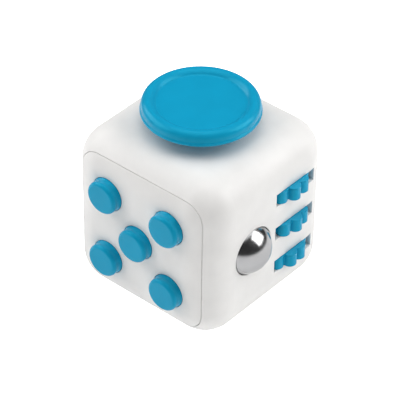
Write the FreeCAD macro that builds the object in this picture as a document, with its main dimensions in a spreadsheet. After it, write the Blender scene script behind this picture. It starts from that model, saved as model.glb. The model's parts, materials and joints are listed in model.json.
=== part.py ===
"""Fidget cube: a hollow cube with five push buttons, a gliding thumb disc, three gear wheels,
a roller ball, a rocker switch, a dial and a thumb recess, one device to each face.

Faces: -Y buttons, +Z glide disc, +X gears and ball, +Y rocker, -X dial, -Z thumb recess.
Every piece is drawn about the centre of the cube and is placed half a cube higher, so the
origin of the model is the centre of the face that the cube rests on. Millimetres, +Z up.
"""
import FreeCAD, Part
import math
import os
import Sketcher

DRIVING_DIMENSIONS = {
    # cube casing
    "cube_side": 33.0,
    "edge_radius": 6.5,
    "wall": 2.0,
    "seam_half": 13.7,
    "seam_corner": 3.7,
    "seam_gap": 0.08,
    "ledge_half": 12.3,
    "ledge_corner": 2.6,
    "corner_block": 10.2,
    "corner_block_depth": 6.0,
    "peg_place": 11.7,
    "peg_radius": 0.98,
    "peg_length": 3.5,
    "peg_end_gap": 0.5,
    "socket_gap": 0.02,
    "hole_skin": 0.6,
    # plain screws, all of one size but for their length
    "screw_radius": 0.58,
    "screw_head_radius": 1.1,
    "screw_head_height": 0.6,
    "pilot_radius": 0.6,
    "clearance_radius": 0.7,
    # buttons on the front
    "button_pitch": 7.0,
    "button_radius": 3.27,
    "button_end_radius": 3.15,
    "button_proud": 1.9,
    "button_waist_high": 1.2,
    "button_waist_low": 0.05,
    "button_waist_round": 1.2,
    "button_edge": 0.65,
    "button_end_wall": 1.2,
    "button_bore": 2.3,
    "button_flange_radius": 3.9,
    "button_flange": 0.8,
    "button_flange_gap": 0.1,
    "button_hole_radius": 3.35,
    "button_spring_radius": 1.7,
    "button_spring_wire": 0.18,
    "button_spring_turns": 6,
    "click_plate_front": 12.0,
    "click_plate_back": 11.0,
    "click_plate_half": 12.0,
    "click_plate_notch": 9.6,
    "click_post_radius": 1.2,
    "click_post_height": 1.2,
    "click_block_depth": 2.2,
    "click_block_half": 4.4,
    "click_block_inner": 8.9,
    "click_screw_across": 2.6,
    "click_screw_up": 10.4,
    "click_screw_bite": 1.8,
    # glide disc on the top
    "disc_lip_radius": 10.62,
    "disc_lip_low": 2.98,
    "disc_lip_high": 3.35,
    "disc_lip_edge": 0.2,
    "disc_wall_radius": 10.44,
    "disc_wall_low": 3.6,
    "disc_wall_high": 4.15,
    "disc_roll": 1.2,
    "disc_crest_radius": 8.93,
    "disc_crest_level": 5.31,
    "disc_slope_round": 1.6,
    "disc_foot_radius": 8.0,
    "disc_foot_blend": 0.5,
    "disc_flat_level": 4.62,
    "disc_under_radius": 9.4,
    "disc_under_level": 2.5,
    "disc_under_round": 4.0,
    "disc_neck_radius": 3.2,
    "disc_neck_level": 2.4,
    "disc_neck_low": 1.8,
    "disc_neck_round": 0.7,
    "disc_neck_end": 1.0,
    "spigot_radius": 1.6,
    "spigot_length": 2.0,
    "spigot_end_gap": 0.1,
    "stem_radius": 2.6,
    "stem_flange_radius": 3.0,
    "stem_flange": 0.8,
    "stem_low": 8.8,
    "glide_hole_radius": 4.2,
    "glide_pivot_level": 12.2,
    "glide_ring_outer": 6.3,
    "glide_ring_inner": 4.6,
    "glide_ring_height": 1.6,
    "glide_pin_radius": 0.6,
    "glide_pin_play": 0.06,
    "pin_press_play": 0.01,
    "cross_pin_short": 0.2,
    "glide_pin_inner": 5.0,
    "glide_pin_outer": 8.0,
    "glide_housing_outer": 8.6,
    "glide_housing_inner": 6.9,
    "glide_floor_low": 8.9,
    "glide_floor_high": 9.8,
    "glide_cup_outer": 5.0,
    "glide_cup_inner": 4.2,
    "glide_cup_low": 3.0,
    "glide_cup_floor": 0.8,
    "glide_ear_place": 7.2,
    "glide_ear_radius": 1.7,
    "glide_ear_height": 1.3,
    "glide_screw_bite": 1.3,
    "glide_spring_radius": 2.2,
    "glide_spring_wire": 0.25,
    "glide_spring_turns": 5,
    # gear wheels on the right side
    "gear_tip_radius": 5.67,
    "gear_teeth": 11,
    "gear_proud": 1.6,
    "gear_height": 2.54,
    "gear_pitch": 7.4,
    "gear_y": 6.05,
    "gear_bore": 1.06,
    "valley_low": 4.79,
    "valley_half_low": 0.12,
    "valley_floor_round": 0.134,
    "valley_high": 5.479,
    "valley_half_high": 1.499,
    "lobe_round": 1.28,
    "slot_height": 2.7,
    "slot_low_y": 0.99,
    "slot_high_y": 11.35,
    "slot_relief": 0.3,
    "axle_radius": 1.0,
    "axle_half": 10.1,
    "spacer_radius": 1.7,
    "spacer_low": 1.35,
    "spacer_high": 6.05,
    "spacer_play": 0.02,
    "bracket_back": 8.5,
    "bracket_side": 12.1,
    "bracket_thickness": 1.0,
    "bracket_corner": 13.0,
    "bracket_front": 14.0,
    "bracket_bend": 9.5,
    "bracket_near": 4.2,
    "bracket_ear_low": 8.85,
    "gear_screw_x": 10.5,
    "gear_screw_z": 3.7,
    "gear_boss_radius": 1.5,
    "gear_screw_bite": 2.4,
    # roller ball on the right side
    "ball_radius": 5.0,
    "ball_proud": 2.75,
    "ball_y": -4.98,
    "ball_play": 0.1,
    "ball_mouth_radius": 4.72,
    "cup_radius": 3.8,
    "cup_front": 10.5,
    "cup_back": 8.4,
    "cup_seat_play": 0.05,
    "cup_pin_radius": 1.0,
    "cup_pin_length": 1.1,
    "ball_tube_inner": 3.9,
    "ball_tube_outer": 4.8,
    "ball_tube_front": 10.2,
    "ball_tube_seat": 6.5,
    "ball_tube_back": 5.6,
    "ball_bar_back": 9.0,
    "ball_bar_half_width": 2.0,
    "ball_bar_half_length": 8.5,
    "ball_post_z": 6.9,
    "ball_post_radius": 1.6,
    "ball_screw_bite": 3.0,
    "ball_spring_radius": 2.4,
    "ball_spring_wire": 0.15,
    "ball_spring_turns": 3,
    # rocker switch on the back
    "rocker_half_width": 3.95,
    "rocker_half_length": 6.4,
    "rocker_middle": 2.9,
    "rocker_end": 3.8,
    "rocker_under": 1.4,
    "rocker_edge": 0.5,
    "rocker_rest_angle": 8.0,
    "rocker_pivot_y": 13.4,
    "rocker_hub_radius": 1.8,
    "rocker_barrel_radius": 1.7,
    "rocker_barrel_end": 3.9,
    "rocker_bore": 1.05,
    "rocker_bore_seat": 1.3,
    "rocker_pin_radius": 0.75,
    "rocker_pin_play": 0.05,
    "window_half_width": 4.2,
    "window_half_length": 7.15,
    "plunger_radius": 1.0,
    "plunger_start": 2.7,
    "plunger_tip": 4.7,
    "plunger_gap": 0.15,
    "rocker_spring_radius": 0.75,
    "rocker_spring_wire": 0.12,
    "rocker_spring_turns": 3,
    "cheek_inner": 4.3,
    "cheek_outer": 5.5,
    "cheek_half_length": 2.5,
    "cheek_back": 7.6,
    "rocker_ear_outer": 8.3,
    "rocker_ear_half": 1.8,
    "rocker_ear_thickness": 1.2,
    "rocker_screw_x": 7.0,
    "rocker_screw_bite": 1.2,
    # dial on the left side
    "dial_radius": 8.2,
    "dial_proud": 2.75,
    "dial_gap": 0.2,
    "dial_edge": 0.7,
    "dial_dimple_place": 4.6,
    "dial_dimple_radius": 6.0,
    "dial_dimple_depth": 1.1,
    "dial_shaft_radius": 3.0,
    "dial_shaft_play": 0.05,
    "dial_hub_radius": 2.0,
    "dial_hub_end": 3.6,
    "dial_shoulder": 2.1,
    "wheel_radius": 5.0,
    "wheel_notches": 12,
    "wheel_notch_radius": 0.5,
    "washer_radius": 2.6,
    "washer_thickness": 0.4,
    "washer_play": 0.05,
    "dial_screw_radius": 0.9,
    "dial_screw_head_radius": 1.8,
    "dial_screw_head": 0.7,
    "dial_screw_depth": 1.0,
    "dial_screw_end_gap": 0.1,
    "leaf_thickness": 0.3,
    "leaf_width": 1.5,
    "leaf_level": 5.3,
    "leaf_end_y": -3.0,
    "leaf_tab_low_y": 6.2,
    "leaf_tab_high_y": 9.8,
    "leaf_tab_high_z": 9.0,
    "leaf_bump_radius": 0.15,
    "leaf_screw_y": 8.0,
    "leaf_screw_z": 7.3,
    "leaf_screw_bite": 1.2,
    # thumb recess under the cube
    "recess_half_x": 8.5,
    "recess_half_y": 6.5,
    "recess_depth": 2.3,
    "recess_skin": 1.8,
}
# turn of each gear wheel at rest, from a tooth on +X
GEAR_TURNS = {"gear_top": -9.6, "gear_middle": -0.5, "gear_bottom": -12.8}

TOLERANCE = 1e-4
FULL_TURN = 360
# how far a cutting tool, or the root of a fixing, runs past the face that it meets
PAST = 1.0
# turns of a coil in each of its faces
TURNS_PER_FACE = 0.5
X_AXIS = FreeCAD.Vector(1, 0, 0)
Y_AXIS = FreeCAD.Vector(0, 1, 0)
Z_AXIS = FreeCAD.Vector(0, 0, 1)
# turns that lay a piece drawn along +Z on another axis
ALONG = {
    "+Z": FreeCAD.Rotation(),
    "+X": FreeCAD.Rotation(Y_AXIS, 90),
    "-X": FreeCAD.Rotation(Y_AXIS, -90),
    "+Y": FreeCAD.Rotation(X_AXIS, -90),
    "-Y": FreeCAD.Rotation(X_AXIS, 90),
}
# the origin plane across each axis, and whether that plane's normal points along the axis
PLANE_ACROSS = {"X": ("YZ_Plane", 1), "Y": ("XZ_Plane", -1), "Z": ("XY_Plane", 1)}

doc = FreeCAD.newDocument("fidget_cube")
sheet = doc.addObject("Spreadsheet::Sheet", "dims")
sub_parts = []


class Size:
    """A length worked out from the sheet: its number, and the expression that drives it."""

    def __init__(self, value, text):
        self.value = value
        self.text = text

    def joined(self, other, sign, value):
        return Size(value, f"({self.text} {sign} {as_size(other).text})")

    def __add__(self, other):
        return self.joined(other, "+", self.value + as_size(other).value)

    def __sub__(self, other):
        return self.joined(other, "-", self.value - as_size(other).value)

    def __mul__(self, other):
        return self.joined(other, "*", self.value * as_size(other).value)

    def __truediv__(self, other):
        return self.joined(other, "/", self.value / as_size(other).value)

    def __neg__(self):
        return Size(-self.value, f"(0 - {self.text})")


def as_size(number):
    """A Size as it is, or a plain number as a Size."""
    return number if isinstance(number, Size) else Size(float(number), str(float(number)))


def fill_sheet():
    """Write the driving dimensions into the sheet and return a Size for each."""
    sizes = {}
    for row, (name, value) in enumerate(DRIVING_DIMENSIONS.items(), start=1):
        sheet.set(f"A{row}", name)
        sheet.set(f"B{row}", str(value))
        sheet.setAlias(f"B{row}", name)
        sizes[name] = Size(float(value), f"dims.{name}")
    doc.recompute()
    return sizes


d = fill_sheet()
half = d["cube_side"] / 2
inner_half = half - d["wall"]
ZERO = as_size(0)


def bind(target, prop, size):
    """Drive one property of an object from the sheet."""
    target.setExpression(prop, as_size(size).text)


def place(target, x, y, z, along="+Z"):
    """Lay an object along an axis and move it to a place that the sheet drives."""
    target.Placement = FreeCAD.Placement(FreeCAD.Vector(), ALONG[along])
    bind(target, "Placement.Base.x", x)
    bind(target, "Placement.Base.y", y)
    bind(target, "Placement.Base.z", z)


def sub_part(target, label, x=0, y=0, z=0, along="+Z"):
    """Name a finished piece, place it in the cube and note it for writing."""
    target.Label = label
    place(target, x, y, half + z, along)
    sub_parts.append(target)
    return target


# ---------------------------------------------------------------- Part primitives and booleans

def box(x, y, z):
    """Box from a low and a high value on each axis."""
    solid = doc.addObject("Part::Box", "box")
    bind(solid, "Length", as_size(x[1]) - x[0])
    bind(solid, "Width", as_size(y[1]) - y[0])
    bind(solid, "Height", as_size(z[1]) - z[0])
    place(solid, x[0], y[0], z[0])
    return solid


def rod(axis, radius, across, low, high):
    """Cylinder along an axis; across holds its centre on the other two axes, in order."""
    solid = doc.addObject("Part::Cylinder", "rod")
    bind(solid, "Radius", radius)
    bind(solid, "Height", as_size(high) - low)
    centre = list(across)
    centre.insert("XYZ".index(axis), low)
    place(solid, *centre, along="+" + axis)
    return solid


def ball(radius, x, y, z):
    """Sphere about a centre."""
    solid = doc.addObject("Part::Sphere", "ball")
    bind(solid, "Radius", radius)
    place(solid, x, y, z)
    return solid


def dish(half_x, half_y, half_z, z):
    """Ellipsoid centred on the Z axis."""
    solid = doc.addObject("Part::Ellipsoid", "dish")
    bind(solid, "Radius1", half_z)
    bind(solid, "Radius2", half_x)
    bind(solid, "Radius3", half_y)
    place(solid, 0, 0, z)
    return solid


def fuse(pieces):
    """One solid from several."""
    if len(pieces) == 1:
        return pieces[0]
    solid = doc.addObject("Part::MultiFuse", "fuse")
    solid.Shapes = pieces
    return solid


def cut(base, tools):
    """A solid with the tools taken out of it."""
    solid = doc.addObject("Part::Cut", "cut")
    solid.Base = base
    solid.Tool = fuse(tools)
    return solid


def common(first, second):
    """What two solids share."""
    solid = doc.addObject("Part::Common", "common")
    solid.Base = first
    solid.Tool = second
    return solid


def group(template, places, along="+Z"):
    """Separate copies of one piece as one object."""
    copies = []
    for spot in places:
        copy = doc.addObject("App::Link", "copy")
        copy.LinkedObject = template
        place(copy, *spot, along=along)
        copies.append(copy)
    solid = doc.addObject("Part::Compound", "group")
    solid.Links = copies
    return solid


def coil(radius, wire, length, turns):
    """Coil spring along +Z from zero to its length."""
    spine = doc.addObject("Part::Helix", "spine")
    bind(spine, "Radius", radius)
    bind(spine, "Height", length - wire * 2)
    bind(spine, "Pitch", (length - wire * 2) / turns)
    place(spine, 0, 0, wire)
    section = doc.addObject("Part::Circle", "section")
    bind(section, "Radius", wire)
    place(section, radius, 0, wire, along="-Y")
    spine.SegmentLength = TURNS_PER_FACE
    solid = doc.addObject("Part::Sweep", "coil")
    solid.Sections = [section]
    solid.Spine = spine
    solid.Solid = True
    solid.Frenet = True
    return solid


# ---------------------------------------------------------------- sketches and PartDesign features

def new_body(name):
    return doc.addObject("PartDesign::Body", name)


def origin_plane(body, role):
    """One of the body's own origin planes."""
    return next(item for item in body.Origin.OriginFeatures if item.Role == role)


def pin_point(sketch, geometry, end, point):
    """Hold one end of a line or arc, or the middle of a circle, at a driven point."""
    for kind, size in zip(("DistanceX", "DistanceY"), point):
        index = sketch.addConstraint(Sketcher.Constraint(kind, -1, 1, geometry, end, size.value))
        sketch.setExpression(f"Constraints[{index}]", size.text)


def add_circle(sketch, centre, radius):
    """Circle with a driven centre and radius."""
    centre = [as_size(value) for value in centre]
    radius = as_size(radius)
    middle = FreeCAD.Vector(centre[0].value, centre[1].value, 0)
    index = sketch.addGeometry(Part.Circle(middle, Z_AXIS, radius.value))
    pin_point(sketch, index, 3, centre)
    held = sketch.addConstraint(Sketcher.Constraint("Radius", index, radius.value))
    sketch.setExpression(f"Constraints[{held}]", radius.text)


def arc_between(start, end, radius):
    """Counterclockwise arc between two points; a positive radius bulges to the right of the way."""
    chord = end - start
    normal = FreeCAD.Vector(chord.y, -chord.x, 0).normalize()
    size = abs(radius)
    rise = size - math.sqrt(size ** 2 - (chord.Length / 2) ** 2)
    crown = (start + end) * 0.5 + normal * math.copysign(rise, radius)
    return Part.Arc(start, crown, end) if radius > 0 else Part.Arc(end, crown, start)


def add_outline(sketch, corners):
    """Closed outline through driven corners; a third value makes the side that follows an arc."""
    points = [[as_size(value) for value in corner[:2]] for corner in corners]
    spots = [FreeCAD.Vector(point[0].value, point[1].value, 0) for point in points]
    for number, corner in enumerate(corners):
        following = (number + 1) % len(corners)
        start = spots[number]
        end = spots[following]
        if len(corner) == 2:
            index = sketch.addGeometry(Part.LineSegment(start, end))
            pin_point(sketch, index, 1, points[number])
            pin_point(sketch, index, 2, points[following])
            continue
        radius = as_size(corner[2])
        index = sketch.addGeometry(arc_between(start, end, radius.value))
        ends = (1, 2) if radius.value > 0 else (2, 1)
        pin_point(sketch, index, ends[0], points[number])
        pin_point(sketch, index, ends[1], points[following])


def sketch_on(body, axis, shapes, level):
    """Sketch across an axis, level with a height on it, holding circles and outlines."""
    role, facing = PLANE_ACROSS[axis]
    sketch = body.newObject("Sketcher::SketchObject", body.Name + "_sketch")
    sketch.AttachmentSupport = [(origin_plane(body, role), "")]
    sketch.MapMode = "FlatFace"
    bind(sketch, "AttachmentOffset.Base.z", as_size(level) * facing)
    for kind, *values in shapes:
        if kind == "circle":
            add_circle(sketch, *values)
        else:
            add_outline(sketch, *values)
    return sketch


def rectangle(low_u, high_u, low_v, high_v):
    """Outline of an upright rectangle."""
    return ("outline", [(low_u, low_v), (high_u, low_v), (high_u, high_v), (low_u, high_v)])


def pad(body, axis, shapes, low, high):
    """Add the shapes to the body, from low to high along an axis."""
    facing = PLANE_ACROSS[axis][1]
    start = low if facing > 0 else high
    feature = body.newObject("PartDesign::Pad", body.Name + "_pad")
    feature.Profile = sketch_on(body, axis, shapes, start)
    bind(feature, "Length", as_size(high) - low)
    doc.recompute()
    return feature


def pocket(body, axis, shapes, low, high):
    """Take the shapes out of the body, from low to high along an axis."""
    before = body.Shape.Volume
    facing = PLANE_ACROSS[axis][1]
    start = high if facing > 0 else low
    feature = body.newObject("PartDesign::Pocket", body.Name + "_pocket")
    feature.Profile = sketch_on(body, axis, shapes, start)
    bind(feature, "Length", as_size(high) - low)
    doc.recompute()
    if body.Shape.Volume > before - TOLERANCE:
        raise RuntimeError(f"{feature.Name} takes nothing away")
    return feature


def turned(name, profile):
    """Body turned about Z from a profile of radius and height."""
    body = new_body(name)
    feature = body.newObject("PartDesign::Revolution", name + "_turn")
    feature.Profile = sketch_on(body, "Y", [("outline", profile)], 0)
    feature.ReferenceAxis = (feature.Profile[0], ["V_Axis"])
    feature.Angle = FULL_TURN
    doc.recompute()
    return body


def around_z(body, feature, count):
    """Repeat a feature evenly about the body's Z axis."""
    pattern = body.newObject("PartDesign::PolarPattern", body.Name + "_pattern")
    pattern.Originals = [feature]
    pattern.Axis = (next(i for i in body.Origin.OriginFeatures if i.Role == "Z_Axis"), [""])
    pattern.Angle = FULL_TURN
    bind(pattern, "Occurrences", count)
    body.Tip = pattern
    doc.recompute()


def round_edges(body, wanted, radius):
    """Round the edges of the body that wanted() picks."""
    base = body.Tip
    names = [f"Edge{n}" for n, edge in enumerate(base.Shape.Edges, start=1) if wanted(edge)]
    feature = body.newObject("PartDesign::Fillet", body.Name + "_round")
    feature.Base = (base, names)
    bind(feature, "Radius", radius)
    doc.recompute()


def circle_at(radius, level):
    """Picks circular edges about Z by radius and height."""
    radius = as_size(radius).value
    level = as_size(level).value

    def wanted(edge):
        if not isinstance(edge.Curve, Part.Circle):
            return False
        right_size = abs(edge.Curve.Radius - radius) < TOLERANCE
        return right_size and abs(edge.Curve.Center.z - level) < TOLERANCE

    return wanted


def edges_along(axis):
    """Picks straight edges along an axis."""

    def wanted(edge):
        if not isinstance(edge.Curve, Part.Line):
            return False
        return abs(abs(edge.Curve.Direction.dot(axis)) - 1) < TOLERANCE

    return wanted


def rounded_cube(name, half_size, radius):
    """Cube about the centre with all its edges and corners rounded."""
    body = new_body(name)
    square = rectangle(-half_size, half_size, -half_size, half_size)
    pad(body, "Z", [square], -half_size, half_size)
    round_edges(body, lambda edge: True, radius)
    return body


def rounded_square(name, half_size, radius, low, high):
    """Square plate across Y with rounded corners."""
    body = new_body(name)
    square = rectangle(-half_size, half_size, -half_size, half_size)
    pad(body, "Y", [square], low, high)
    round_edges(body, edges_along(Y_AXIS), radius)
    return body


def screw(name, grip):
    """Plain screw along +Z: its head ends at zero and its shank reaches up by the grip."""
    head = d["screw_head_radius"]
    shank = d["screw_radius"]
    low = -d["screw_head_height"]
    return turned(name, [(0, low), (head, low), (head, 0), (shank, 0), (shank, grip), (0, grip)])


def corners(across, up):
    """The four sign changes of a pair of sizes."""
    return [(across * u, up * v) for u in (-1, 1) for v in (-1, 1)]


# ---------------------------------------------------------------- casing

gear_x = half + d["gear_proud"] - d["gear_tip_radius"]
ball_x = half + d["ball_proud"] - d["ball_radius"]
gear_levels = {"gear_top": d["gear_pitch"], "gear_middle": ZERO, "gear_bottom": -d["gear_pitch"]}
peg_places = corners(d["peg_place"], d["peg_place"])
click_screw_places = corners(d["click_screw_across"], d["click_screw_up"])
glide_screw_places = corners(d["glide_ear_place"], d["glide_ear_place"])
cover_back = half - d["wall"]


def inside_fixings():
    """Solid material left inside the hollow of the casing: blocks, posts, bosses and the recess."""
    fixings = []
    near = d["corner_block"]
    far = inner_half + PAST
    front = -inner_half
    for u in (-1, 1):
        for v in (-1, 1):
            across = sorted((near * u, far * u), key=lambda size: size.value)
            upright = sorted((near * v, far * v), key=lambda size: size.value)
            fixings.append(box(across, (front, front + d["corner_block_depth"]), upright))
    for v in (-1, 1):
        ends = sorted((d["click_block_inner"] * v, far * v), key=lambda size: size.value)
        block = (-d["click_plate_back"], d["click_block_depth"] - d["click_plate_back"])
        fixings.append(box((-d["click_block_half"], d["click_block_half"]), block, ends))
        post = (d["ball_y"], d["ball_post_z"] * v)
        fixings.append(rod("X", d["ball_post_radius"], post, d["ball_tube_front"], far))
        boss = (d["gear_screw_x"], d["gear_screw_z"] * v)
        start = d["bracket_side"] + d["bracket_thickness"]
        fixings.append(rod("Y", d["gear_boss_radius"], boss, start, far))
    skin = d["recess_skin"]
    fixings.append(dish(d["recess_half_x"] + skin, d["recess_half_y"] + skin,
                        d["recess_depth"] + skin, -half))
    return fixings


def pilot_holes():
    """Holes in the casing for the cover's pegs and for every screw."""
    radius = d["pilot_radius"]
    end = half - d["hole_skin"]
    socket_end = d["peg_length"] + d["peg_end_gap"] - cover_back
    holes = []
    for spot in peg_places:
        socket_radius = d["peg_radius"] + d["socket_gap"]
        holes.append(rod("Y", socket_radius, spot, -cover_back - PAST, socket_end))
    for spot in click_screw_places:
        holes.append(rod("Y", radius, spot, -d["click_plate_back"] - PAST,
                         d["click_block_depth"] + PAST - d["click_plate_back"]))
    for spot in glide_screw_places:
        holes.append(rod("Z", radius, spot, inner_half - PAST, end))
    for v in (-1, 1):
        holes.append(rod("X", radius, (d["ball_y"], d["ball_post_z"] * v),
                         d["ball_tube_front"] - PAST, inner_half))
        holes.append(rod("Y", radius, (d["gear_screw_x"], d["gear_screw_z"] * v),
                         d["bracket_side"], end))
        holes.append(rod("Y", radius, (d["rocker_screw_x"] * v, 0), inner_half - PAST, end))
    leaf_spot = (d["leaf_screw_y"], d["leaf_screw_z"])
    holes.append(rod("X", radius, leaf_spot, -end, -inner_half + PAST))
    return holes


def face_openings():
    """Openings through the casing's walls for the devices on its faces."""
    outside = half + PAST
    inside = inner_half - PAST
    openings = [
        rod("Z", d["glide_hole_radius"], (0, 0), inside, outside),
        ball(d["ball_radius"] + d["ball_play"], ball_x, d["ball_y"], 0),
        box((-d["window_half_width"], d["window_half_width"]), (inside, outside),
            (-d["window_half_length"], d["window_half_length"])),
        rod("X", d["dial_shaft_radius"] + d["dial_shaft_play"], (0, 0), -outside, -inside),
        dish(d["recess_half_x"], d["recess_half_y"], d["recess_depth"], -half),
    ]
    relief = d["gear_tip_radius"] + d["slot_relief"]
    for level in gear_levels.values():
        low = level - d["slot_height"] / 2
        high = level + d["slot_height"] / 2
        openings.append(box((inside, outside), (d["slot_low_y"], d["slot_high_y"]), (low, high)))
        openings.append(rod("Z", relief, (gear_x, d["gear_y"]), low, high))
    mouth = doc.addObject("Part::Cone", "mouth")
    flare = d["ball_mouth_radius"] - d["ball_radius"] + PAST
    bind(mouth, "Radius1", d["ball_mouth_radius"] - flare)
    bind(mouth, "Radius2", d["ball_mouth_radius"] + flare)
    bind(mouth, "Height", flare * 2)
    place(mouth, half - flare, d["ball_y"], 0, along="+X")
    openings.append(mouth)
    return openings


def make_body_shell():
    blank = rounded_cube("shell_blank", half, d["edge_radius"])
    hollow = rounded_cube("hollow", inner_half, d["edge_radius"] - d["wall"])
    throat = rounded_square("throat", d["ledge_half"], d["ledge_corner"], -cover_back - PAST,
                            -d["click_plate_back"] + PAST)
    mouth = rounded_square("cover_opening", d["seam_half"], d["seam_corner"], -half - PAST,
                           -cover_back)
    space = cut(fuse([hollow, throat]), inside_fixings())
    shell = cut(blank, [space, mouth] + face_openings() + pilot_holes())
    sub_part(shell, "body_shell")


def make_front_cover():
    blank = rounded_cube("cover_blank", half, d["edge_radius"])
    plate = rounded_square("cover_plate", d["seam_half"] - d["seam_gap"],
                           d["seam_corner"] - d["seam_gap"], -half - PAST, -cover_back)
    pegs = [rod("Y", d["peg_radius"], spot, -cover_back - PAST, d["peg_length"] - cover_back)
            for spot in peg_places]
    holes = [rod("Y", d["button_hole_radius"], spot, -half - PAST, -cover_back + PAST)
             for spot in button_places.values()]
    cover = cut(fuse([common(blank, plate)] + pegs), holes)
    sub_part(cover, "front_cover")


# ---------------------------------------------------------------- buttons

button_places = {
    "button_top_left": (-d["button_pitch"], d["button_pitch"]),
    "button_top_right": (d["button_pitch"], d["button_pitch"]),
    "button_centre": (ZERO, ZERO),
    "button_bottom_left": (-d["button_pitch"], -d["button_pitch"]),
    "button_bottom_right": (d["button_pitch"], -d["button_pitch"]),
}


def make_button(label, across, up):
    """Hollow plunger with an inner flange, drawn with its end outward and zero at the face."""
    end = d["button_proud"]
    radius = d["button_radius"]
    end_radius = d["button_end_radius"]
    flange_top = -d["wall"] - d["button_flange_gap"]
    flange_low = flange_top - d["button_flange"]
    bore_end = end - d["button_end_wall"]
    profile = [
        (0, end),
        (end_radius, end),
        (end_radius, d["button_waist_high"], d["button_waist_round"]),
        (radius, d["button_waist_low"]),
        (radius, flange_top),
        (d["button_flange_radius"], flange_top),
        (d["button_flange_radius"], flange_low),
        (d["button_bore"], flange_low),
        (d["button_bore"], bore_end),
        (0, bore_end),
    ]
    body = turned(label + "_body", profile)
    round_edges(body, circle_at(end_radius, end), d["button_edge"])
    sub_part(body, label, x=across, y=-half, z=up, along="-Y")


def make_buttons():
    spring_length = half + d["button_proud"] - d["button_end_wall"] - d["click_plate_front"]
    for label, (across, up) in button_places.items():
        make_button(label, across, up)
        spring = coil(d["button_spring_radius"], d["button_spring_wire"], spring_length,
                      d["button_spring_turns"])
        sub_part(spring, label.replace("button", "button_spring"), x=across,
                 y=-d["click_plate_front"], z=up, along="-Y")


def make_click_plate():
    """Backing plate with a post inside each button's spring."""
    body = new_body("click_plate_body")
    far = d["click_plate_half"]
    near = d["click_plate_notch"]
    outline = [(-near, -far), (near, -far), (near, -near), (far, -near), (far, near), (near, near),
               (near, far), (-near, far), (-near, near), (-far, near), (-far, -near), (-near, -near)]
    front = -d["click_plate_front"]
    pad(body, "Y", [("outline", outline)], front, -d["click_plate_back"])
    posts = [("circle", spot, d["click_post_radius"]) for spot in button_places.values()]
    pad(body, "Y", posts, front - d["click_post_height"], front)
    holes = [("circle", spot, d["clearance_radius"]) for spot in click_screw_places]
    pocket(body, "Y", holes, front, -d["click_plate_back"])
    sub_part(body, "click_plate")
    thickness = d["click_plate_front"] - d["click_plate_back"]
    template = screw("click_screw", thickness + d["click_screw_bite"])
    places = [(across, front, up) for across, up in click_screw_places]
    sub_part(group(template, places, along="+Y"), "click_plate_screws")


# ---------------------------------------------------------------- glide disc

def make_glide_disc():
    """Thumb disc with a raised ridge and a thin lip at its rim, zero at the cube's top face."""
    lip = d["disc_lip_radius"]
    socket = d["spigot_radius"] + d["socket_gap"]
    socket_end = d["disc_neck_end"] + d["spigot_length"] + d["spigot_end_gap"]
    profile = [
        (0, socket_end),
        (socket, socket_end),
        (socket, d["disc_neck_end"]),
        (d["stem_radius"], d["disc_neck_end"]),
        (d["stem_radius"], d["disc_neck_low"], -d["disc_neck_round"]),
        (d["disc_neck_radius"], d["disc_neck_level"]),
        (d["disc_under_radius"], d["disc_under_level"], d["disc_under_round"]),
        (lip, d["disc_lip_low"]),
        (lip, d["disc_lip_high"]),
        (d["disc_wall_radius"], d["disc_wall_low"]),
        (d["disc_wall_radius"], d["disc_wall_high"], d["disc_roll"]),
        (d["disc_crest_radius"], d["disc_crest_level"], d["disc_slope_round"]),
        (d["disc_foot_radius"], d["disc_flat_level"]),
        (0, d["disc_flat_level"]),
    ]
    body = turned("glide_disc_body", profile)
    round_edges(body, circle_at(d["disc_foot_radius"], d["disc_flat_level"]), d["disc_foot_blend"])
    round_edges(body, circle_at(lip, d["disc_lip_low"]), d["disc_lip_edge"])
    sub_part(body, "glide_disc", z=half)


def make_glide_stem():
    shoulder = half + d["disc_neck_end"]
    flange_high = d["stem_low"] + d["stem_flange"]
    profile = [
        (0, d["stem_low"]),
        (d["stem_flange_radius"], d["stem_low"]),
        (d["stem_flange_radius"], flange_high),
        (d["stem_radius"], flange_high),
        (d["stem_radius"], shoulder),
        (d["spigot_radius"], shoulder),
        (d["spigot_radius"], shoulder + d["spigot_length"]),
        (0, shoulder + d["spigot_length"]),
    ]
    body = turned("glide_stem_body", profile)
    hole = ("circle", (ZERO, d["glide_pivot_level"]), d["glide_pin_radius"] + d["glide_pin_play"])
    pocket(body, "Y", [hole], -d["stem_flange_radius"], d["stem_flange_radius"])
    sub_part(body, "glide_stem")


def make_glide_ring():
    """Tilting ring between the stem and the housing, with its pins."""
    level = d["glide_pivot_level"]
    outer = d["glide_ring_outer"]
    body = new_body("glide_ring_body")
    rims = [("circle", (ZERO, ZERO), outer), ("circle", (ZERO, ZERO), d["glide_ring_inner"])]
    pad(body, "Z", rims, level - d["glide_ring_height"] / 2, level + d["glide_ring_height"] / 2)
    hole = ("circle", (ZERO, level), d["glide_pin_radius"] + d["pin_press_play"])
    pocket(body, "X", [hole], -outer, outer)
    pocket(body, "Y", [hole], -outer, outer)
    sub_part(body, "glide_ring")
    pins = new_body("glide_ring_pins_body")
    pins.AllowCompound = True
    pin = ("circle", (ZERO, level), d["glide_pin_radius"])
    pad(pins, "X", [pin], d["glide_pin_inner"], d["glide_pin_outer"])
    pad(pins, "X", [pin], -d["glide_pin_outer"], -d["glide_pin_inner"])
    sub_part(pins, "glide_ring_pins")
    cross = new_body("glide_cross_pin_body")
    reach = outer - d["cross_pin_short"]
    pad(cross, "Y", [pin], -reach, reach)
    sub_part(cross, "glide_cross_pin")


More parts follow.
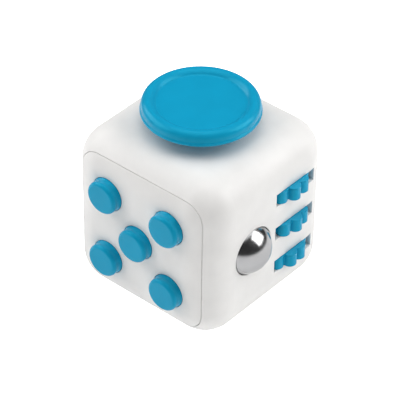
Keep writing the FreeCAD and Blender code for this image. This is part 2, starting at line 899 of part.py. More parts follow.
def make_glide_housing():
    """Turned cup that holds the tilting ring and the centring spring, with four ears."""
    top = inner_half
    cup_floor = d["glide_cup_low"] + d["glide_cup_floor"]
    profile = [
        (0, d["glide_cup_low"]),
        (d["glide_cup_outer"], d["glide_cup_low"]),
        (d["glide_cup_outer"], d["glide_floor_low"]),
        (d["glide_housing_outer"], d["glide_floor_low"]),
        (d["glide_housing_outer"], top),
        (d["glide_housing_inner"], top),
        (d["glide_housing_inner"], d["glide_floor_high"]),
        (d["glide_cup_inner"], d["glide_floor_high"]),
        (d["glide_cup_inner"], cup_floor),
        (0, cup_floor),
    ]
    cup = turned("glide_housing_body", profile)
    ear_low = top - d["glide_ear_height"]
    ears = [rod("Z", d["glide_ear_radius"], spot, ear_low, top) for spot in glide_screw_places]
    holes = [rod("Z", d["clearance_radius"], spot, ear_low - PAST, top + PAST)
             for spot in glide_screw_places]
    reach = d["glide_housing_outer"] + PAST
    pivot = rod("X", d["glide_pin_radius"] + d["glide_pin_play"], (0, d["glide_pivot_level"]),
                -reach, reach)
    room = rod("Z", d["glide_housing_inner"], (0, 0), d["glide_floor_high"], top + PAST)
    housing = cut(fuse([cup] + ears), holes + [pivot, room])
    sub_part(housing, "glide_housing")
    spring = coil(d["glide_spring_radius"], d["glide_spring_wire"], d["stem_low"] - cup_floor,
                  d["glide_spring_turns"])
    sub_part(spring, "glide_spring", z=cup_floor)
    template = screw("glide_screw", d["glide_ear_height"] + d["glide_screw_bite"])
    places = [(across, deep, ear_low) for across, deep in glide_screw_places]
    sub_part(group(template, places), "glide_screws")


# ---------------------------------------------------------------- gear wheels

def make_gear(label, level):
    """Thumb wheel with coarse round lobes for teeth, on a vertical axle."""
    body = new_body(label + "_body")
    rise = d["gear_height"] / 2
    rims = [("circle", (ZERO, ZERO), d["gear_tip_radius"]), ("circle", (ZERO, ZERO), d["gear_bore"])]
    pad(body, "Z", rims, -rise, rise)
    outside = d["gear_tip_radius"] + PAST
    valley = [
        (outside, -d["valley_half_high"]),
        (outside, d["valley_half_high"]),
        (d["valley_high"], d["valley_half_high"], -d["lobe_round"]),
        (d["valley_low"], d["valley_half_low"], d["valley_floor_round"]),
        (d["valley_low"], -d["valley_half_low"], -d["lobe_round"]),
        (d["valley_high"], -d["valley_half_high"]),
    ]
    feature = pocket(body, "Z", [("outline", valley)], -rise, rise)
    around_z(body, feature, d["gear_teeth"])
    sub_part(body, label, x=gear_x, y=d["gear_y"], z=level)
    half_tooth = FULL_TURN / DRIVING_DIMENSIONS["gear_teeth"] / 2
    body.Placement.Rotation = FreeCAD.Rotation(Z_AXIS, GEAR_TURNS[label] + half_tooth)


def make_gears():
    for label, level in gear_levels.items():
        make_gear(label, level)
    centre = (gear_x, d["gear_y"])
    axle = new_body("gear_axle_body")
    pad(axle, "Z", [("circle", centre, d["axle_radius"])], -d["axle_half"], d["axle_half"])
    sub_part(axle, "gear_axle")
    spacers = new_body("gear_spacers_body")
    spacers.AllowCompound = True
    tube = [("circle", centre, d["spacer_radius"]),
            ("circle", centre, d["axle_radius"] + d["spacer_play"])]
    pad(spacers, "Z", tube, d["spacer_low"], d["spacer_high"])
    pad(spacers, "Z", tube, -d["spacer_high"], -d["spacer_low"])
    sub_part(spacers, "gear_spacers")


def make_gear_bracket():
    """Bracket with a side plate on the casing's back wall and an ear at each end of the axle."""
    back = d["bracket_back"]
    side = d["bracket_side"]
    far_side = side + d["bracket_thickness"]
    corner = d["bracket_corner"]
    profile = [
        (back, d["bracket_near"]),
        (d["bracket_front"], d["bracket_near"]),
        (d["bracket_front"], d["bracket_bend"]),
        (corner, side),
        (corner, far_side),
        (back, far_side),
    ]
    body = new_body("gear_bracket_body")
    reach = d["axle_half"]
    pad(body, "Z", [rectangle(back, corner, side, far_side)], -reach, reach)
    pad(body, "Z", [("outline", profile)], d["bracket_ear_low"], reach)
    pad(body, "Z", [("outline", profile)], -reach, -d["bracket_ear_low"])
    bore = ("circle", (gear_x, d["gear_y"]), d["axle_radius"] + d["pin_press_play"])
    pocket(body, "Z", [bore], -reach, reach)
    places = [(d["gear_screw_x"], d["gear_screw_z"] * v) for v in (-1, 1)]
    pocket(body, "Y", [("circle", spot, d["clearance_radius"]) for spot in places], side, far_side)
    sub_part(body, "gear_bracket")
    template = screw("gear_screw", d["bracket_thickness"] + d["gear_screw_bite"])
    spots = [(across, side, up) for across, up in places]
    sub_part(group(template, spots, along="+Y"), "gear_bracket_screws")


# ---------------------------------------------------------------- roller ball

def make_roller_ball():
    sub_part(ball(d["ball_radius"], 0, 0, 0), "roller_ball", x=ball_x, y=d["ball_y"])
    cup = fuse([
        rod("X", d["cup_radius"], (d["ball_y"], 0), d["cup_back"], d["cup_front"]),
        rod("X", d["cup_pin_radius"], (d["ball_y"], 0), d["cup_back"] - d["cup_pin_length"],
            d["cup_front"]),
    ])
    seat = ball(d["ball_radius"] + d["cup_seat_play"], ball_x, d["ball_y"], 0)
    sub_part(cut(cup, [seat]), "ball_cup")
    spring = coil(d["ball_spring_radius"], d["ball_spring_wire"],
                  d["cup_back"] - d["ball_tube_seat"], d["ball_spring_turns"])
    sub_part(spring, "ball_spring", x=d["ball_tube_seat"], y=d["ball_y"], along="+X")


def make_ball_housing():
    """Tube that guides the ball's cup, with a bar that is screwed to two posts of the casing."""
    centre = (d["ball_y"], ZERO)
    width = d["ball_bar_half_width"]
    length = d["ball_bar_half_length"]
    body = new_body("ball_housing_body")
    front = d["ball_tube_front"]
    pad(body, "X", [("circle", centre, d["ball_tube_outer"])], d["ball_tube_back"], front)
    bar = rectangle(d["ball_y"] - width, d["ball_y"] + width, -length, length)
    pad(body, "X", [bar], d["ball_bar_back"], front)
    pocket(body, "X", [("circle", centre, d["ball_tube_inner"])], d["ball_tube_seat"], front)
    places = [(d["ball_y"], d["ball_post_z"] * v) for v in (-1, 1)]
    holes = [("circle", spot, d["clearance_radius"]) for spot in places]
    pocket(body, "X", holes, d["ball_bar_back"], front)
    sub_part(body, "ball_housing")
    template = screw("ball_screw", front - d["ball_bar_back"] + d["ball_screw_bite"])
    spots = [(d["ball_bar_back"], deep, up) for deep, up in places]
    sub_part(group(template, spots, along="+X"), "ball_housing_screws")


# ---------------------------------------------------------------- rocker switch

def tilt_rocker(target):
    """Put a piece that is drawn about the rocker's pivot at the pivot, tilted to its rest."""
    place(target, 0, d["rocker_pivot_y"], half)
    target.Placement.Rotation = FreeCAD.Rotation(X_AXIS, DRIVING_DIMENSIONS["rocker_rest_angle"])


def make_rocker():
    """Rocker with a shallow V across its top, a hub and a barrel for the sprung plunger."""
    width = d["rocker_half_width"]
    length = d["rocker_half_length"]
    outline = [
        (d["rocker_middle"], ZERO),
        (d["rocker_end"], length),
        (d["rocker_under"], length),
        (d["rocker_under"], -length),
        (d["rocker_end"], -length),
    ]
    body = new_body("flip_rocker_body")
    pad(body, "X", [("outline", outline)], -width, width)
    end_edge = d["rocker_end"].value
    across = edges_along(X_AXIS)

    def tip(edge):
        return across(edge) and abs(edge.Vertexes[0].Point.y - end_edge) < TOLERANCE

    round_edges(body, tip, d["rocker_edge"])
    pad(body, "X", [("circle", (ZERO, ZERO), d["rocker_hub_radius"])], -width, width)
    barrel = ("circle", (ZERO, ZERO), d["rocker_barrel_radius"])
    pad(body, "Y", [barrel], -d["rocker_barrel_end"], 0)
    bore = ("circle", (ZERO, ZERO), d["rocker_bore"])
    pocket(body, "Y", [bore], -d["rocker_barrel_end"], -d["rocker_bore_seat"])
    pin_hole = ("circle", (ZERO, ZERO), d["rocker_pin_radius"] + d["rocker_pin_play"])
    pocket(body, "X", [pin_hole], -width, width)
    sub_part(body, "flip_rocker")
    tilt_rocker(body)
    crown = d["plunger_tip"] - d["plunger_radius"]
    profile = [
        (0, d["plunger_start"]),
        (d["plunger_radius"], d["plunger_start"]),
        (d["plunger_radius"], crown, d["plunger_radius"]),
        (0, d["plunger_tip"]),
    ]
    template = turned("plunger_blank", profile)
    plunger = group(template, [(0, 0, 0)], along="-Y")
    sub_part(plunger, "flip_plunger")
    tilt_rocker(plunger)
    spring = coil(d["rocker_spring_radius"], d["rocker_spring_wire"],
                  d["plunger_start"] - d["rocker_bore_seat"], d["rocker_spring_turns"])
    place(spring, 0, -d["rocker_bore_seat"], 0, along="-Y")
    lying = doc.addObject("Part::Compound", "lying_spring")
    lying.Links = [spring]
    sub_part(lying, "flip_spring")
    tilt_rocker(lying)


def make_rocker_housing():
    """Two cheeks that hold the rocker's pin, a curved back plate for the plunger, and two ears."""
    cheek = d["cheek_outer"]
    reach = d["cheek_half_length"]
    pivot = (d["rocker_pivot_y"], ZERO)
    block = box((-cheek, cheek), (d["cheek_back"], inner_half), (-reach, reach))
    ear = d["rocker_ear_half"]
    ear_low = inner_half - d["rocker_ear_thickness"]
    ears = box((-d["rocker_ear_outer"], d["rocker_ear_outer"]), (ear_low, inner_half), (-ear, ear))
    inner = d["cheek_inner"]
    track = d["plunger_tip"] + d["plunger_gap"]
    room = fuse([
        rod("X", track, pivot, -inner, inner),
        box((-inner, inner), (pivot[0], inner_half + PAST), (-reach - PAST, reach + PAST)),
    ])
    holes = [rod("Y", d["clearance_radius"], (d["rocker_screw_x"] * v, 0), ear_low - PAST,
                 inner_half + PAST) for v in (-1, 1)]
    pin_hole = rod("X", d["rocker_pin_radius"] + d["pin_press_play"], pivot, -cheek - PAST,
                   cheek + PAST)
    sub_part(cut(fuse([block, ears]), [room, pin_hole] + holes), "flip_housing")
    pin = new_body("flip_pin_body")
    pad(pin, "X", [("circle", pivot, d["rocker_pin_radius"])], -cheek, cheek)
    sub_part(pin, "flip_pin")
    template = screw("rocker_screw", d["rocker_ear_thickness"] + d["rocker_screw_bite"])
    spots = [(d["rocker_screw_x"] * v, ear_low, ZERO) for v in (-1, 1)]
    sub_part(group(template, spots, along="+Y"), "flip_housing_screws")


# ---------------------------------------------------------------- dial

def make_dial():
    """Dial with a finger dimple and a stepped shaft, drawn outward from the cube's left face."""
    bore = d["dial_screw_radius"] + d["socket_gap"]
    bore_end = d["dial_screw_end_gap"] - d["dial_screw_depth"]
    profile = [
        (0, d["dial_proud"]),
        (d["dial_radius"], d["dial_proud"]),
        (d["dial_radius"], d["dial_gap"]),
        (d["dial_shaft_radius"], d["dial_gap"]),
        (d["dial_shaft_radius"], -d["dial_shoulder"]),
        (d["dial_hub_radius"], -d["dial_shoulder"]),
        (d["dial_hub_radius"], -d["dial_hub_end"]),
        (bore, -d["dial_hub_end"]),
        (bore, bore_end),
        (0, bore_end),
    ]
    body = turned("spin_dial_body", profile)
    round_edges(body, circle_at(d["dial_radius"], d["dial_proud"]), d["dial_edge"])
    bowl = ball(d["dial_dimple_radius"], d["dial_dimple_place"], 0,
                d["dial_proud"] + d["dial_dimple_radius"] - d["dial_dimple_depth"])
    sub_part(cut(body, [bowl]), "spin_dial", x=-half, along="-X")


def make_dial_inside():
    """Notched wheel, washer and screw on the dial's hub, behind the casing's wall."""
    shoulder = -d["dial_shoulder"]
    hub_end = -d["dial_hub_end"]
    wheel = new_body("spin_wheel_body")
    rims = [("circle", (ZERO, ZERO), d["wheel_radius"]),
            ("circle", (ZERO, ZERO), d["dial_hub_radius"] + d["socket_gap"])]
    pad(wheel, "Z", rims, hub_end, shoulder)
    notch = ("circle", (d["wheel_radius"], ZERO), d["wheel_notch_radius"])
    feature = pocket(wheel, "Z", [notch], hub_end, shoulder)
    around_z(wheel, feature, d["wheel_notches"])
    sub_part(wheel, "spin_wheel", x=-half, along="-X")
    under_head = hub_end - d["washer_thickness"]
    washer = new_body("spin_washer_body")
    rims = [("circle", (ZERO, ZERO), d["washer_radius"]),
            ("circle", (ZERO, ZERO), d["dial_screw_radius"] + d["washer_play"])]
    pad(washer, "Z", rims, under_head, hub_end)
    sub_part(washer, "spin_washer", x=-half, along="-X")
    head = d["dial_screw_head_radius"]
    shank = d["dial_screw_radius"]
    low = under_head - d["dial_screw_head"]
    tip = -d["dial_screw_depth"]
    bolt = turned("spin_screw_body", [(0, low), (head, low), (head, under_head),
                                      (shank, under_head), (shank, tip), (0, tip)])
    sub_part(bolt, "spin_screw", x=-half, along="-X")


def make_leaf_spring():
    """Bent leaf with a bump over the notched wheel, screwed to the casing's left wall."""
    wall_face = -inner_half
    tab_face = wall_face + d["leaf_thickness"]
    blade_low = d["leaf_level"]
    blade_high = blade_low + d["leaf_thickness"]
    tab = box((wall_face, tab_face), (d["leaf_tab_low_y"], d["leaf_tab_high_y"]),
              (blade_low, d["leaf_tab_high_z"]))
    blade = box((wall_face, wall_face + d["leaf_width"]), (d["leaf_end_y"], d["leaf_tab_high_y"]),
                (blade_low, blade_high))
    bump = rod("X", d["leaf_bump_radius"], (ZERO, blade_low), wall_face,
               wall_face + d["leaf_width"])
    spot = (d["leaf_screw_y"], d["leaf_screw_z"])
    hole = rod("X", d["clearance_radius"], spot, wall_face - PAST, tab_face + PAST)
    sub_part(cut(fuse([tab, blade, bump]), [hole]), "spin_click_spring")
    template = screw("leaf_screw", d["leaf_thickness"] + d["leaf_screw_bite"])
    sub_part(group(template, [(tab_face, *spot)], along="-X"), "spin_click_screw")


# ---------------------------------------------------------------- whole cube

def check_objects():
    """Stop if any feature failed or any sub-part is empty or broken."""
    for item in doc.Objects:
        if "Invalid" in item.State or "Error" in item.State:
            raise RuntimeError(f"{item.Name} failed: {item.State}")
    for item in sub_parts:
        if item.Shape.isNull() or not item.Shape.isValid():
            raise RuntimeError(f"{item.Label} has no valid shape")


def write_sub_parts():
    os.makedirs("parts", exist_ok=True)
    for item in sub_parts:
        item.Shape.exportStep(f"parts/{item.Label}.step")
        print(f"{item.Label}: {len(item.Shape.Solids)} solid, {item.Shape.Volume:.2f} mm3")


make_body_shell()
make_front_cover()
make_buttons()
make_click_plate()
make_glide_disc()
make_glide_stem()
make_glide_ring()
make_glide_housing()
make_gears()
make_gear_bracket()
make_roller_ball()
make_ball_housing()
make_rocker()
make_rocker_housing()
make_dial()
make_dial_inside()
make_leaf_spring()
doc.recompute()
check_objects()
write_sub_parts()
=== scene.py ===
"""Looks of the fidget cube: materials, floor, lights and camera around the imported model. Metres."""

import json
import math

import bpy
from mathutils import Matrix, Vector


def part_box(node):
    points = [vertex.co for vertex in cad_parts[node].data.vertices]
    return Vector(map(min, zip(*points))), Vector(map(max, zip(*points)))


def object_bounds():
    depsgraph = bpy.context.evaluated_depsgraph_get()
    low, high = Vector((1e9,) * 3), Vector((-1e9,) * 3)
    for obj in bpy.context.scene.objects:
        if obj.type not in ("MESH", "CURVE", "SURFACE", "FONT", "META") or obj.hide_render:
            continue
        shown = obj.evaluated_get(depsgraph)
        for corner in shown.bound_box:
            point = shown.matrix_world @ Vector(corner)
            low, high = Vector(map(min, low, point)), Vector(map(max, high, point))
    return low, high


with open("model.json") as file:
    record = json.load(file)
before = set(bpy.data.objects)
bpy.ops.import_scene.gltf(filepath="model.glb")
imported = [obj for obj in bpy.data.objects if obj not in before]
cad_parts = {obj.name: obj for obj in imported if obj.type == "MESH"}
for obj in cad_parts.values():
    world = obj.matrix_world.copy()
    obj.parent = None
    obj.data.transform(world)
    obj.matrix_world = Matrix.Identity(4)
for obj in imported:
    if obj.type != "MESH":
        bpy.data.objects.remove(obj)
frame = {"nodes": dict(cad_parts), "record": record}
cad_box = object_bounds()

MM = 0.001

# the casing's outer faces give the centre that the camera and the lights are set around
CASING_LOW, CASING_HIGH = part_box("body_shell")
CASING_LOW.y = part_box("front_cover")[0].y
CENTRE = (CASING_LOW + CASING_HIGH) / 2

# camera: a long lens looking down at the edge between the button face and the gear face
CAMERA_AZIMUTH = math.radians(40.22)
CAMERA_ELEVATION = math.radians(38.53)
CAMERA_ROLL = math.radians(0.8)
CAMERA_DISTANCE = 0.4384
CAMERA_LENS = 222.7
CAMERA_SENSOR = 36.0
CAMERA_AIM = Vector((0.14, -0.10, -0.27)) * MM
CAMERA_NEAR = 0.01
CAMERA_FAR = 20.0

# lights and ceiling stand at one distance from the centre
LIGHT_DISTANCE = 0.3
# softboxes: azimuth and elevation in degrees, width and height, watts, and whether gloss shows them
SOFTBOXES = {
    "light_left": (-62, 35, (0.33, 0.21), 0.56, True),
    "light_window": (128, 36, (0.22, 0.22), 0.52, True),
    "light_top": (0, 85, (0.27, 0.27), 0.50, False),
    "light_back": (178, 35, (0.21, 0.21), 0.14, False),
}
# soft ceiling that only gloss shows, in place of the top light: its side and its brightness
CEILING_SIZE = 0.3
CEILING_GLOW = 1.1

# order of a level sheet's corners that turns its face up or down
FACE_UP = (0, 1, 2, 3)
FACE_DOWN = (3, 2, 1, 0)

# floor: paper that glows a little, so that it lights the cube from below and looks pale to the camera
FLOOR_REACH = 3.0
FLOOR_GRAIN = 0.6 * MM
FLOOR_DARK = (0.89, 0.89, 0.89, 1.0)
FLOOR_LIGHT = (0.91, 0.91, 0.91, 1.0)
FLOOR_IN_GLOSS = (0.78, 0.78, 0.78, 1.0)
FLOOR_ROUGHNESS = 0.85
FLOOR_GLOW = 0.42
FLOOR_GLOW_SEEN = 1.0
# glow of the room around the floor: as light, in gloss, and straight to the camera
ROOM_GLOW = 0.10
ROOM_GLOW_IN_GLOSS = 0.03
ROOM_GLOW_SEEN = 0.9

# colours of the plastics, and the tint of the blue one's shine seen face on
BLACK = (0.0, 0.0, 0.0, 1.0)
PURE_WHITE = (1.0, 1.0, 1.0, 1.0)
WHITE = (0.80, 0.79, 0.775, 1.0)
BLUE = (0.006, 0.305, 0.510, 1.0)
GREY = (0.45, 0.45, 0.44, 1.0)
BLUE_SHINE = (0.10, 0.85, 1.0, 1.0)

# moulded plastic: slow drift of tone, rubbed edges, patches of gloss and a two-scale grain
PLASTIC_IOR = 1.49
DRIFT_SIZE = 6 * MM
DRIFT_DARK = 0.965
DRIFT_LIGHT = 1.02
WEAR_WIDTH = 0.5 * MM
WEAR_SIZE = 1.1 * MM
WEAR_GAIN = 1.06
WEAR_LIFT = 0.012
WEAR_POLISH = 0.1
PATCH_SIZE = 2.5 * MM
PATCH_SPREAD = 0.05
FINE_GRAIN = 0.09 * MM
COARSE_GRAIN = 0.9 * MM
COARSE_SHARE = 1.5
PLASTIC_EDGE = 0.12 * MM

# turned and drawn steel: streaks of tool marks
PLATED_STEEL = (0.62, 0.62, 0.63, 1.0)
DRAWN_STEEL = (0.5, 0.5, 0.52, 1.0)
STEEL_IOR = 2.5
STREAK_SIZE = 0.25 * MM
STREAK_DEPTH = 0.004 * MM
STREAK_DULL = 0.8
STREAK_SMOOTHER = 0.06
STREAK_ROUGHER = 0.08
STEEL_EDGE = 0.05 * MM

# polished ball: finger haze and hairline scratches
BALL_IOR = 2.7
BALL_CLEAN = (0.60, 0.60, 0.61, 1.0)
BALL_HAZED = (0.56, 0.56, 0.57, 1.0)
BALL_ROUGHNESS = (0.17, 0.24)
HAZE_SIZE = 1.6 * MM
HAZE_TONE_BAND = (0.35, 0.7)
HAZE_GLOSS_BAND = (0.3, 0.75)
SCRATCH_SPACING = 2.2 * MM
SCRATCH_WIDTH = 0.012
SCRATCH_DEPTH = 0.0006 * MM

# the part of a noise that is stretched over its whole range
MIDDLE_BAND = (0.35, 0.65)
BROAD_BAND = (0.3, 0.7)
# an edge counts as sharp where the rounded normal leans this far from the flat one
FLAT_COSINE = 1.0
SHARP_COSINE = 0.85
BEVEL_SAMPLES = 6


# ---------------------------------------------------------------- node helpers

class Graph:
    """A material's node tree with short ways to add and join nodes."""

    def __init__(self, name):
        self.material = bpy.data.materials.new(name)
        self.material.use_nodes = True
        self.nodes = self.material.node_tree.nodes
        self.links = self.material.node_tree.links
        self.nodes.clear()
        output = self.add("ShaderNodeOutputMaterial")
        self.shader = self.add("ShaderNodeBsdfPrincipled")
        self.join(self.shader.outputs[0], output.inputs["Surface"])
        self.place = self.add("ShaderNodeTexCoord").outputs["Object"]

    def add(self, kind, **settings):
        node = self.nodes.new(kind)
        for name, value in settings.items():
            setattr(node, name, value)
        return node

    def join(self, source, target):
        self.links.new(source, target)

    def feed(self, source, socket):
        """Join a source to one of the shader's own sockets."""
        self.join(source, self.shader.inputs[socket])

    def set(self, **values):
        """Constants on the shader's own sockets, with _ for a space."""
        for name, value in values.items():
            self.shader.inputs[name.replace("_", " ")].default_value = value

    def fill(self, socket, value):
        """Give a socket a number or colour, or join it to another node's output."""
        if isinstance(value, (int, float, tuple)):
            socket.default_value = value
        else:
            self.join(value, socket)

    def noise(self, size, detail=2.0, roughness=0.5):
        """Noise whose features are about size metres across."""
        node = self.add("ShaderNodeTexNoise")
        node.inputs["Scale"].default_value = 1.0 / size
        node.inputs["Detail"].default_value = detail
        node.inputs["Roughness"].default_value = roughness
        self.join(self.place, node.inputs["Vector"])
        return node.outputs["Fac"]

    def ramp(self, value, low, high, start=0.0, end=1.0):
        """Value from low..high mapped to start..end."""
        node = self.add("ShaderNodeMapRange")
        node.inputs["From Min"].default_value = low
        node.inputs["From Max"].default_value = high
        node.inputs["To Min"].default_value = start
        node.inputs["To Max"].default_value = end
        self.join(value, node.inputs["Value"])
        return node.outputs["Result"]

    def math(self, kind, first, second):
        """Result of a sum or product of two values."""
        node = self.add("ShaderNodeMath", operation=kind)
        self.fill(node.inputs[0], first)
        self.fill(node.inputs[1], second)
        return node.outputs[0]

    def blend(self, share, first, second):
        """Colour between two colours by a share."""
        node = self.add("ShaderNodeMix", data_type="RGBA")
        self.join(share, node.inputs["Factor"])
        self.fill(node.inputs["A"], first)
        self.fill(node.inputs["B"], second)
        return node.outputs["Result"]

    def soften(self, radius):
        """Normal of the surface with its edges rounded off."""
        bevel = self.add("ShaderNodeBevel", samples=BEVEL_SAMPLES)
        bevel.inputs["Radius"].default_value = radius
        return bevel.outputs[0]

    def edges(self, radius):
        """1 on edges sharper than the radius, 0 on flat ground."""
        flat = self.add("ShaderNodeNewGeometry").outputs["Normal"]
        dot = self.add("ShaderNodeVectorMath", operation="DOT_PRODUCT")
        self.join(self.soften(radius), dot.inputs[0])
        self.join(flat, dot.inputs[1])
        return self.ramp(dot.outputs["Value"], FLAT_COSINE, SHARP_COSINE)

    def bump(self, heights, base=None):
        """Bumps from (height, depth in metres) pairs, one on the other."""
        normal = base
        for height, depth in heights:
            node = self.add("ShaderNodeBump")
            node.inputs["Strength"].default_value = 1.0
            node.inputs["Distance"].default_value = depth
            self.join(height, node.inputs["Height"])
            if normal is not None:
                self.join(normal, node.inputs["Normal"])
            normal = node.outputs[0]
        self.feed(normal, "Normal")


def shade(colour, gain, lift=0.0):
    """The colour with each channel multiplied and raised, up to full."""
    return tuple(min(1.0, channel * gain + lift) for channel in colour[:3]) + (1.0,)


# ---------------------------------------------------------------- materials

def moulded_plastic(name, colour, roughness, grain, shine=PURE_WHITE):
    """Injection-moulded plastic: spark-eroded grain, slow colour drift, handling polish on edges."""
    graph = Graph(name)
    graph.set(IOR=PLASTIC_IOR, Specular_Tint=shine)
    drift = graph.ramp(graph.noise(DRIFT_SIZE, detail=3.0), *MIDDLE_BAND)
    tone = graph.blend(drift, shade(colour, DRIFT_DARK), shade(colour, DRIFT_LIGHT))
    wear = graph.ramp(graph.noise(WEAR_SIZE, detail=4.0), *MIDDLE_BAND)
    worn = graph.math("MULTIPLY", graph.edges(WEAR_WIDTH), wear)
    graph.feed(graph.blend(worn, tone, shade(colour, WEAR_GAIN, WEAR_LIFT)), "Base Color")
    patches = graph.ramp(graph.noise(PATCH_SIZE, detail=4.0, roughness=0.6), *BROAD_BAND,
                         roughness - PATCH_SPREAD, roughness + PATCH_SPREAD)
    polish = graph.math("MULTIPLY", worn, WEAR_POLISH)
    graph.feed(graph.math("SUBTRACT", patches, polish), "Roughness")
    fine = graph.noise(FINE_GRAIN, roughness=0.6)
    coarse = graph.noise(COARSE_GRAIN)
    graph.bump([(fine, grain), (coarse, grain * COARSE_SHARE)], graph.soften(PLASTIC_EDGE))
    return graph.material


def turned_steel(name, colour, roughness):
    """Plain turned or drawn steel with fine tool marks."""
    graph = Graph(name)
    graph.set(Metallic=1.0, IOR=STEEL_IOR)
    streaks = graph.noise(STREAK_SIZE, detail=5.0, roughness=0.7)
    tone = graph.blend(graph.ramp(streaks, *BROAD_BAND), shade(colour, STREAK_DULL), colour)
    graph.feed(tone, "Base Color")
    marks = graph.ramp(streaks, *BROAD_BAND, roughness - STREAK_SMOOTHER, roughness + STREAK_ROUGHER)
    graph.feed(marks, "Roughness")
    graph.bump([(streaks, STREAK_DEPTH)], graph.soften(STEEL_EDGE))
    return graph.material


def polished_ball(name):
    """Bearing ball: mirror polish with hairline scratches and faint finger haze."""
    graph = Graph(name)
    graph.set(Metallic=1.0, IOR=BALL_IOR)
    haze = graph.noise(HAZE_SIZE, detail=4.0, roughness=0.6)
    graph.feed(graph.blend(graph.ramp(haze, *HAZE_TONE_BAND), BALL_CLEAN, BALL_HAZED), "Base Color")
    graph.feed(graph.ramp(haze, *HAZE_GLOSS_BAND, *BALL_ROUGHNESS), "Roughness")
    hair = graph.add("ShaderNodeTexVoronoi", feature="DISTANCE_TO_EDGE")
    hair.inputs["Scale"].default_value = 1.0 / SCRATCH_SPACING
    graph.join(graph.place, hair.inputs["Vector"])
    graph.bump([(graph.ramp(hair.outputs["Distance"], 0.0, SCRATCH_WIDTH), SCRATCH_DEPTH)])
    return graph.material


MATERIALS = {
    "white_plastic": moulded_plastic("white_plastic", WHITE, roughness=0.42, grain=0.0035 * MM),
    "blue_plastic": moulded_plastic("blue_plastic", BLUE, roughness=0.22, grain=0.0012 * MM,
                                    shine=BLUE_SHINE),
    "inner_plastic": moulded_plastic("inner_plastic", GREY, roughness=0.5, grain=0.004 * MM),
    "steel": turned_steel("steel", PLATED_STEEL, roughness=0.32),
    "spring_steel": turned_steel("spring_steel", DRAWN_STEEL, roughness=0.28),
    "polished_steel": polished_ball("polished_steel"),
}


def dress_nodes():
    """Give every CAD node the material of its slot."""
    for part in frame["record"]["subparts"]:
        mesh = frame["nodes"][part["node"]].data
        mesh.materials.clear()
        mesh.materials.append(MATERIALS[part["material_slot"]])


# ---------------------------------------------------------------- stage, lights and camera

def direction(azimuth, elevation):
    """Unit vector towards an azimuth, 0 looking along +Y from the front, and an elevation."""
    flat = math.cos(elevation)
    return Vector((math.sin(azimuth) * flat, -math.cos(azimuth) * flat, math.sin(elevation)))


def facing(place, target, roll=0.0):
    """Matrix of something at a place that looks at a target along its own -Z."""
    turn = (target - place).to_track_quat("-Z", "Y").to_matrix().to_4x4()
    return Matrix.Translation(place) @ turn @ Matrix.Rotation(roll, 4, "Z")


def level_square(name, reach, height, material, corner_order):
    """Level square sheet of half side reach; the order of its corners turns its face up or down."""
    corners = [(-reach, -reach, height), (reach, -reach, height),
               (reach, reach, height), (-reach, reach, height)]
    mesh = bpy.data.meshes.new(name)
    mesh.from_pydata(corners, [], [corner_order])
    mesh.materials.append(material)
    square = bpy.data.objects.new(name, mesh)
    bpy.context.scene.collection.objects.link(square)
    return square


def floor_paper():
    """Pale paper with a faint grain, whose glow differs as light, in gloss and to the camera."""
    graph = Graph("floor_paper")
    rays = graph.add("ShaderNodeLightPath").outputs
    grain = graph.blend(graph.noise(FLOOR_GRAIN, detail=3.0), FLOOR_DARK, FLOOR_LIGHT)
    graph.feed(graph.blend(rays["Is Glossy Ray"], grain, FLOOR_IN_GLOSS), "Base Color")
    graph.set(Roughness=FLOOR_ROUGHNESS, Specular_IOR_Level=0.0, Emission_Color=PURE_WHITE)
    lit = graph.ramp(rays["Is Glossy Ray"], 0.0, 1.0, FLOOR_GLOW, 0.0)
    seen = graph.math("MULTIPLY", rays["Is Camera Ray"], FLOOR_GLOW_SEEN - FLOOR_GLOW)
    graph.feed(graph.math("ADD", lit, seen), "Emission Strength")
    return graph.material


def make_floor():
    """Plain pale floor under the cube."""
    floor = level_square("floor", FLOOR_REACH, cad_box[0][2], floor_paper(), FACE_UP)


def make_ceiling():
    """Soft ceiling that only shows in glossy surfaces."""
    graph = Graph("ceiling_glow")
    graph.set(Base_Color=BLACK, Emission_Color=PURE_WHITE, Emission_Strength=CEILING_GLOW)
    height = CENTRE.z + LIGHT_DISTANCE
    ceiling = level_square("ceiling", CEILING_SIZE / 2, height, graph.material, FACE_DOWN)
    ceiling.visible_camera = False
    ceiling.visible_diffuse = False
    ceiling.visible_shadow = False


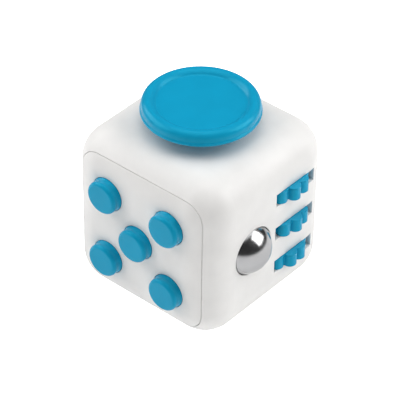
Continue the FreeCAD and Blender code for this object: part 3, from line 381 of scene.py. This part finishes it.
def make_softbox(name, azimuth, elevation, size, power, mirrored):
    """Rectangular area light aimed at the cube."""
    light = bpy.data.lights.new(name, "AREA")
    light.shape = "RECTANGLE"
    light.size, light.size_y = size
    light.energy = power
    lamp = bpy.data.objects.new(name, light)
    place = CENTRE + direction(math.radians(azimuth), math.radians(elevation)) * LIGHT_DISTANCE
    lamp.matrix_world = facing(place, CENTRE)
    lamp.visible_glossy = mirrored
    lamp.visible_camera = False
    bpy.context.scene.collection.objects.link(lamp)


def make_world():
    """Dim room around the floor, darker in gloss and pale where the camera looks straight at it."""
    world = bpy.data.worlds.new("studio")
    world.use_nodes = True
    nodes = world.node_tree.nodes
    links = world.node_tree.links
    rays = nodes.new("ShaderNodeLightPath").outputs
    unseen = nodes.new("ShaderNodeMapRange")
    unseen.inputs["To Min"].default_value = ROOM_GLOW
    unseen.inputs["To Max"].default_value = ROOM_GLOW_IN_GLOSS
    links.new(rays["Is Glossy Ray"], unseen.inputs["Value"])
    glow = nodes.new("ShaderNodeMapRange")
    glow.inputs["To Max"].default_value = ROOM_GLOW_SEEN
    links.new(rays["Is Camera Ray"], glow.inputs["Value"])
    links.new(unseen.outputs["Result"], glow.inputs["To Min"])
    sky = nodes["Background"]
    sky.inputs["Color"].default_value = PURE_WHITE
    links.new(glow.outputs["Result"], sky.inputs["Strength"])
    bpy.context.scene.world = world


def make_camera():
    """Camera at the viewing angle, aimed close to the cube's centre."""
    data = bpy.data.cameras.new("camera")
    data.lens = CAMERA_LENS
    data.sensor_width = CAMERA_SENSOR
    data.clip_start = CAMERA_NEAR
    data.clip_end = CAMERA_FAR
    camera = bpy.data.objects.new("camera", data)
    aim = CENTRE + CAMERA_AIM
    place = aim + direction(CAMERA_AZIMUTH, CAMERA_ELEVATION) * CAMERA_DISTANCE
    camera.matrix_world = facing(place, aim, CAMERA_ROLL)
    bpy.context.scene.collection.objects.link(camera)
    bpy.context.scene.camera = camera


dress_nodes()
make_floor()
make_world()
for label, settings in SOFTBOXES.items():
    make_softbox(label, *settings)
make_ceiling()
make_camera()
bpy.context.scene.view_settings.view_transform = "Standard"
